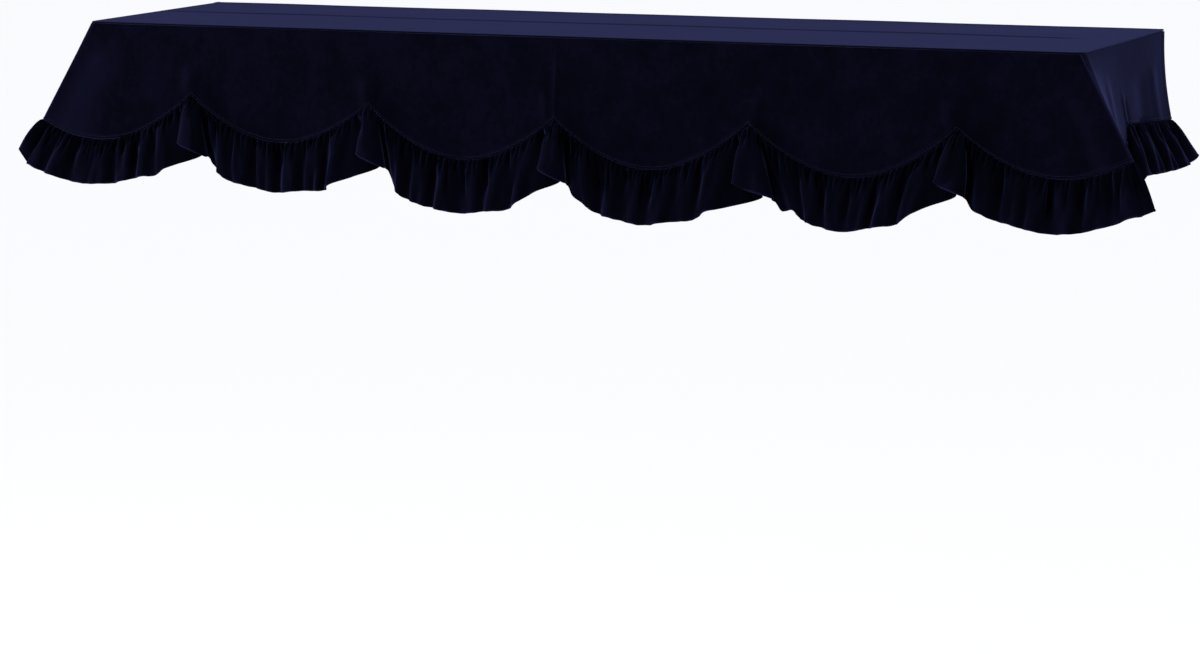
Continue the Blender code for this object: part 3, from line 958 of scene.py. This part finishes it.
def frontFrill():
    look = frillLook
    seam, hem, out, low, phase, light = smoothPath(frontFolds(), look["steps"]).T
    down = frillLevels(look["frontLength"])
    level = (down / look["frontLength"])[:, None]
    at = frontSeam(seam)
    stand = outAt(level, out, phase, look["frontPuff"]) + headOut(down)[:, None]
    x = seam + (hem - seam) * np.clip(level, 0, 1)
    grid = frontPoint(x, at + (low - at) * level, stand)
    along, light = seam, paintedFoldLight(level, phase, light)
    for side in (-1, 1):
        column = cornerColumn(side, level, down)
        column[:, 0] -= side * drape["cornerGap"]
        corner = notches[0 if side < 0 else -1][0]
        grid, along, light = joinCorner(grid, along, light, column, corner, side < 0)
    mitres = {0: cornerMitre(-1), len(along) - 1: cornerMitre(1)}
    return finishFrill("frill_cloth_front", grid, along, down, light, mitres, look["seed"])


def sideFrill(side):
    look = frillLook
    seam, hem, out, phase = smoothPath(sideFolds, look["steps"]).T
    down = frillLevels(frillFall["sideLength"])
    level = (down / frillFall["sideLength"])[:, None]
    at = sideSeam(side, seam)
    drawnUp = frillFall["cornerShort"] * np.exp(-seam / frillFall["cornerReach"])
    foot = outAt(1, out, phase, look["sidePuff"])
    low = hang(at, frillFall["sideLength"] - drawnUp, hem - seam, foot)
    stand = outAt(level, out, phase, look["sidePuff"]) + look["sideHead"] * headOut(down)[:, None]
    grid = sidePoint(side, seam, at, stand)
    grid[..., 1] += (hem - seam) * np.clip(level, 0, 1)
    grid[..., 2] -= (low - at) * level
    column = cornerColumn(side, level, down)
    column[:, 1] += drape["cornerGap"]
    grid, along, light = joinCorner(grid, seam, paintedFoldLight(level, phase, 1.0), column, 0, True)
    mitres = {0: cornerMitre(side)}
    if side < 0:
        grid, along, light = grid[:, ::-1], -along[::-1], light[:, ::-1]
        mitres = {len(along) - 1: cornerMitre(side)}
    name = "frill_cloth_right" if side > 0 else "frill_cloth_left"
    seed = look["seed"] + 5 * (side + 2)    # each frill draws its own gathers
    return finishFrill(name, grid, along, down, light, mitres, seed)


# the cloths, each in its place
topCloth = topPanel()
frontCloth, frontStitches = frontPanel()
sideCloths, sideStitches = {}, {}
for side in (-1, 1):
    sideCloths[side], sideStitches[side] = sidePanel(side)
frontFrillCloth = frontFrill()
sideFrillCloths = {side: sideFrill(side) for side in (-1, 1)}
print("cloth laid")


# the topstitching is one stitch, again and again along a path
stitchLook = {
    "length": 2.6,         # mm
    "gap": 0.9,
    "thick": 0.55,
}


def stitchTree():
    # a path, and a short round stitch laid along it at even steps
    tree = bpy.data.node_groups.new("stitches", "GeometryNodeTree")
    face = tree.interface
    face.new_socket("Geometry", in_out="INPUT", socket_type="NodeSocketGeometry")
    for name in ("Step", "Length", "Thickness"):
        face.new_socket(name, in_out="INPUT", socket_type="NodeSocketFloat")
    face.new_socket("Thread", in_out="INPUT", socket_type="NodeSocketMaterial")
    face.new_socket("Geometry", in_out="OUTPUT", socket_type="NodeSocketGeometry")
    given = tree.nodes.new("NodeGroupInput").outputs
    path = addNode(tree, "GeometryNodeMeshToCurve", {}, {0: given["Geometry"]})
    evenly = addNode(tree, "GeometryNodeResampleCurve", {"mode": "LENGTH"},
                     {"Curve": path.outputs[0], "Length": given["Step"]})
    tangent = addNode(tree, "GeometryNodeInputTangent")
    turned = addNode(tree, "FunctionNodeAlignRotationToVector", {"axis": "Z"},
                     {"Vector": tangent.outputs[0]})
    bead = addNode(tree, "GeometryNodeMeshUVSphere", {"Segments": 6, "Rings": 5, "Radius": 0.5})
    size = addNode(tree, "ShaderNodeCombineXYZ", {},
                   {"X": given["Thickness"], "Y": given["Thickness"], "Z": given["Length"]})
    laid = addNode(tree, "GeometryNodeInstanceOnPoints", {},
                   {"Points": evenly.outputs[0], "Instance": bead.outputs[0],
                    "Rotation": turned.outputs[0], "Scale": size.outputs[0]})
    real = addNode(tree, "GeometryNodeRealizeInstances", {}, {0: laid.outputs[0]})
    smooth = addNode(tree, "GeometryNodeSetShadeSmooth", {}, {0: real.outputs[0]})
    threaded = addNode(tree, "GeometryNodeSetMaterial", {},
                       {"Geometry": smooth.outputs[0], "Material": given["Thread"]})
    result = tree.nodes.new("NodeGroupOutput")
    tree.links.new(threaded.outputs[0], result.inputs[0])
    return tree


stitching = stitchTree()


def stitched(name, path):
    look = stitchLook
    line = bpy.data.meshes.new(name + "_path")
    points = [tuple(p * mm) for p in path]
    line.from_pydata(points, [(k, k + 1) for k in range(len(points) - 1)], [])
    guide = bpy.data.objects.new(name + "_path", line)
    bpy.context.scene.collection.objects.link(guide)
    modifier = guide.modifiers.new("stitches", "NODES")
    modifier.node_group = stitching
    sizes = {"Step": (look["length"] + look["gap"]) * mm, "Length": look["length"] * mm,
             "Thickness": look["thick"] * mm, "Thread": thread}
    for item in stitching.interface.items_tree:
        if item.in_out == "INPUT" and item.name in sizes:
            modifier[item.identifier] = sizes[item.name]
    graph = bpy.context.evaluated_depsgraph_get()
    made = bpy.data.meshes.new_from_object(guide.evaluated_get(graph), depsgraph=graph)
    made.name = name
    piece = bpy.data.objects.new(name, made)
    bpy.context.scene.collection.objects.link(piece)
    guide.modifiers.remove(modifier)
    bpy.data.objects.remove(guide, do_unlink=True)
    print("%s: %d faces" % (name, len(made.polygons)))
    return piece


frontThread = stitched("topstitching_front", frontStitches)
sideThreads = {1: stitched("topstitching_right", sideStitches[1]),
               -1: stitched("topstitching_left", sideStitches[-1])}
print("stitched")


def sewn(piece, node):
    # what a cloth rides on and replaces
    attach(piece, "root")
    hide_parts(node)


for seaming in (frontThread, *sideThreads.values()):
    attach(seaming, "root")
sewn(topCloth, "top_panel")
sewn(frontCloth, "front_panel")
for side, end in ((-1, "left"), (1, "right")):
    sewn(sideCloths[side], "side_panel_" + end)
sewn(frontFrillCloth, "frill_front")
for side, end in ((-1, "left"), (1, "right")):
    sewn(sideFrillCloths[side], "frill_" + end)


studio = {
    "floorDrop": 1.31,         # m, the height of the piano's lid above the floor
    "floorSize": 60.0,
    "paper": "#f4f4f6",
    "room": "#f7f8fb",
    "roomLight": 0.45,
}


def paleFloor():
    half = studio["floorSize"] / 2
    z = -studio["floorDrop"]
    corners = [(-half, -half, z), (half, -half, z), (half, half, z), (-half, half, z)]
    mesh = bpy.data.meshes.new("floor")
    mesh.from_pydata(corners, [], [(0, 1, 2, 3)])
    floor = bpy.data.objects.new("floor", mesh)
    bpy.context.scene.collection.objects.link(floor)
    # matt background paper, with hardly any shine
    material = bpy.data.materials.new("matt_paper")
    material.use_nodes = True
    shader = material.node_tree.nodes["Principled BSDF"]
    shader.inputs["Base Color"].default_value = srgb(studio["paper"])
    shader.inputs["Roughness"].default_value = 0.9
    shader.inputs["Specular IOR Level"].default_value = 0.1
    mesh.materials.append(material)


def softBox(name, at, aim, size, watts):
    lamp = bpy.data.lights.new(name, "AREA")
    lamp.shape = "RECTANGLE"
    lamp.size, lamp.size_y = size
    lamp.energy = watts
    box = bpy.data.objects.new(name, lamp)
    box.location = at
    box.rotation_euler = (Vector(aim) - Vector(at)).to_track_quat("-Z", "Y").to_euler()
    bpy.context.scene.collection.objects.link(box)


def paleRoom():
    world = bpy.data.worlds.new("pale_room")
    bpy.context.scene.world = world
    world.use_nodes = True
    back = world.node_tree.nodes["Background"]
    back.inputs["Color"].default_value = srgb(studio["room"])
    back.inputs["Strength"].default_value = studio["roomLight"]


cameraLook = {
    "at": (2.246, -4.930, 0.464),    # m from the lid's centre
    "azimuth": 24.708,               # degrees, as the next two
    "down": 9.467,
    "roll": 0.513,
    "lens": 112.59,                  # mm
    "sensor": 36,
}


def standCamera():
    data = bpy.data.cameras.new("camera")
    data.sensor_width = cameraLook["sensor"]
    data.lens = cameraLook["lens"]
    camera = bpy.data.objects.new("camera", data)
    camera.location = cameraLook["at"]
    azimuth = math.radians(cameraLook["azimuth"])
    down = math.radians(cameraLook["down"])
    forward = Vector((-math.sin(azimuth) * math.cos(down), math.cos(azimuth) * math.cos(down),
                      -math.sin(down)))
    turn = forward.to_track_quat("-Z", "Y")
    camera.rotation_mode = "QUATERNION"
    camera.rotation_quaternion = turn @ Quaternion((0, 0, 1), math.radians(-cameraLook["roll"]))
    bpy.context.scene.collection.objects.link(camera)
    bpy.context.scene.camera = camera


def softSun(name, azimuth, height, strength, spread):
    # degrees: azimuth from the front, towards the right
    lamp = bpy.data.lights.new(name, "SUN")
    lamp.energy = strength
    lamp.angle = math.radians(spread)
    sun = bpy.data.objects.new(name, lamp)
    turn, up = math.radians(azimuth), math.radians(height)
    towards = Vector((-math.sin(turn) * math.cos(up), math.cos(turn) * math.cos(up),
                      -math.sin(up)))
    sun.rotation_euler = towards.to_track_quat("-Z", "Y").to_euler()
    bpy.context.scene.collection.objects.link(sun)


paleFloor()
paleRoom()
softSun("key_left", -40, 50, 2.7, 25)
softBox("side_right", (3.6, -0.6, 1.0), (0.7, 0, -0.1), (1.4, 2.0), 12)
softBox("end_left", (-2.6, -1.7, -0.5), (-0.78, -0.19, -0.08), (0.7, 0.7), 30)
standCamera()
bpy.context.scene.view_settings.view_transform = "Standard"
print("studio set")
